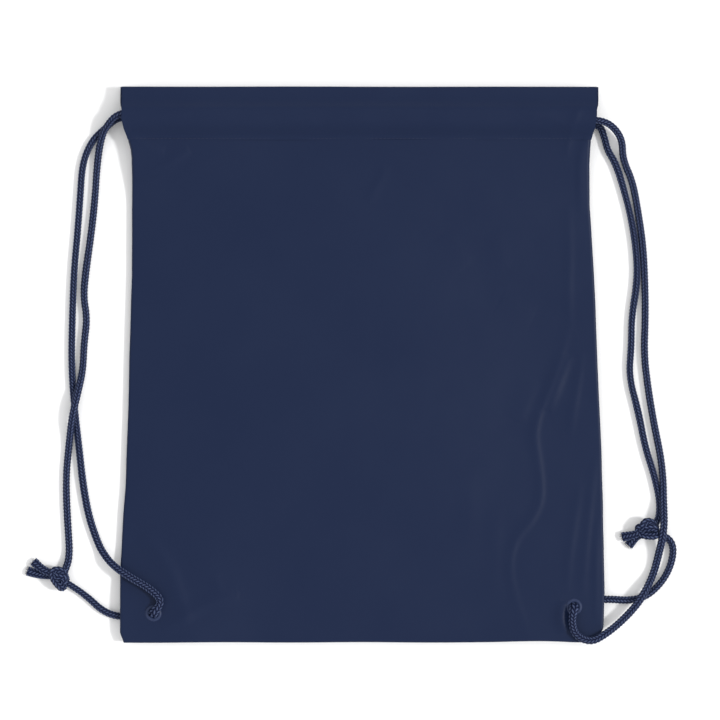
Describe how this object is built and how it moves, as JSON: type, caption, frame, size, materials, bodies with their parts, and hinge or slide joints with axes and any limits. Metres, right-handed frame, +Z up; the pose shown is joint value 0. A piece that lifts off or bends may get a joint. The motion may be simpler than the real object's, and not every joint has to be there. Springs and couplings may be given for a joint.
{
  "type": "drawstring backpack",
  "caption": "Flat fabric drawstring backpack: a sewn pouch with hemmed cord channels at the mouth, corner eyelets and knotted braided cords that double as straps.",
  "frame": {"origin": "bottom centre of the bag's own box, on the table that the bag lies on", "axes": "+X across the bag to its right, seen from the front; +Y from the bottom seam to the mouth; +Z up from the table, out of the front panel"},
  "size_m": [0.4755, 0.4055, 0.0192],
  "materials": {
    "bag_fabric": "matt woven polyester, plain weave",
    "thread": "polyester sewing thread",
    "cord": "braided polyester cord",
    "eyelet": "satin lacquered metal"
  },
  "bodies": {
    "bag": {"front_panel": "bag_fabric", "back_panel": "bag_fabric", "front_channel": "bag_fabric", "back_channel": "bag_fabric", "left_side_seam": "bag_fabric", "right_side_seam": "bag_fabric", "bottom_seam": "bag_fabric", "front_channel_stitching": "thread", "back_channel_stitching": "thread", "left_seam_overlock": "thread", "right_seam_overlock": "thread", "bottom_seam_overlock": "thread", "left_eyelet": "eyelet", "right_eyelet": "eyelet", "left_eyelet_washer": "eyelet", "right_eyelet_washer": "eyelet", "left_cord_knot_lead": "cord", "left_cord_eyelet_run": "cord", "left_cord_return": "cord", "right_cord_knot_lead": "cord", "right_cord_eyelet_run": "cord", "right_cord_return": "cord", "left_knot": "cord", "left_knot_tails": "cord", "right_knot": "cord", "right_knot_tails": "cord"},
    "left_drawcord": {"left_cord_channel_loop": "cord", "left_cord_knot_strand": "cord", "left_cord_eyelet_strand": "cord"},
    "right_drawcord": {"right_cord_channel_loop": "cord", "right_cord_knot_strand": "cord", "right_cord_eyelet_strand": "cord"}
  },
  "joints": [
    {"name": "left_drawcord_slide", "type": "slide", "parent": "bag", "child": "left_drawcord", "axis": [-1, 0, 0], "range_m": [0, 0.11], "deforming": ["front_channel", "back_channel", "front_channel_stitching", "back_channel_stitching"]},
    {"name": "right_drawcord_slide", "type": "slide", "parent": "bag", "child": "right_drawcord", "axis": [1, 0, 0], "range_m": [0, 0.11], "deforming": ["front_channel", "back_channel", "front_channel_stitching", "back_channel_stitching"]}
  ]
}
